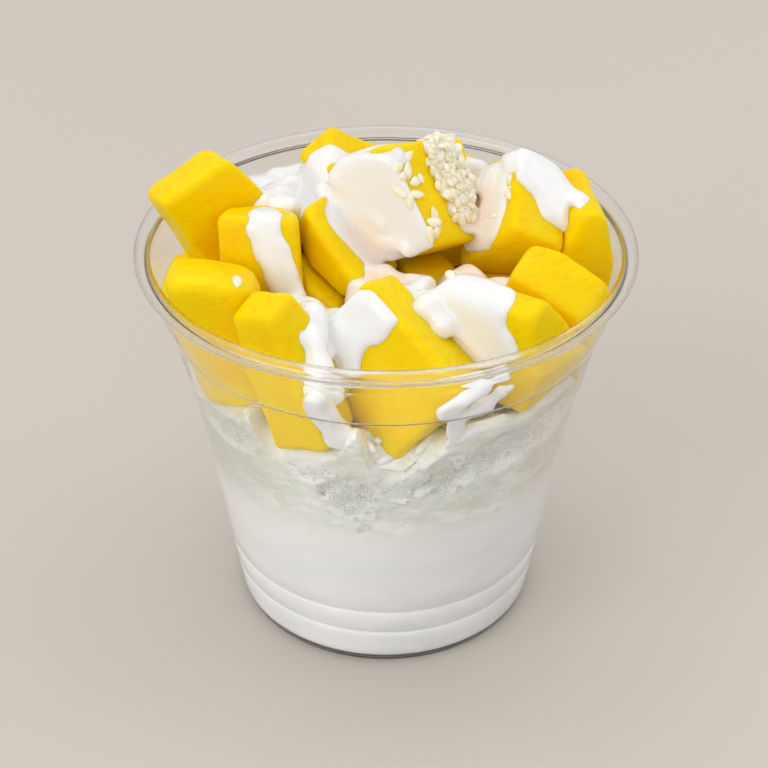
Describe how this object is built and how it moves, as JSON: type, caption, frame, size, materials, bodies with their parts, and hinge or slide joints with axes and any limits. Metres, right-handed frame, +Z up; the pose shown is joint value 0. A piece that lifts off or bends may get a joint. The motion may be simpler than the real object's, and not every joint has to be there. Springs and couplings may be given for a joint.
{
  "type": "mango sticky rice in a clear cup",
  "caption": "Clear plastic cup of coconut cream and sticky rice, heaped with mango cubes under coconut sauce and sesame seeds.",
  "frame": {"origin": "centre of the cup's foot, on the surface that it stands on", "axes": "+Z up along the cup's axis; -Y is the front that the picture was taken from, +X to its right"},
  "size_m": [0.092, 0.092, 0.0945],
  "materials": {
    "cup": "thin clear plastic with a glossy rolled rim",
    "cream": "smooth white coconut cream",
    "rice": "moist translucent grains in coconut milk",
    "mango": "soft ripe yellow flesh with a wet gloss",
    "sauce": "glossy white coconut sauce, translucent where thin",
    "seeds": "pale toasted sesame seeds"
  },
  "bodies": {
    "root": {"cup": "cup", "coconut_cream": "cream", "sticky_rice": "rice", "mango_01": "mango", "mango_02": "mango", "mango_03": "mango", "mango_04": "mango", "mango_05": "mango", "mango_06": "mango", "mango_07": "mango", "mango_08": "mango", "mango_09": "mango", "mango_10": "mango", "mango_11": "mango", "mango_12": "mango", "mango_13": "mango", "mango_14": "mango", "mango_15": "mango", "mango_16": "mango", "mango_17": "mango", "mango_18": "mango", "mango_19": "mango", "mango_20": "mango", "mango_21": "mango", "mango_22": "mango", "mango_23": "mango", "mango_24": "mango"}
  },
  "joints": []
}
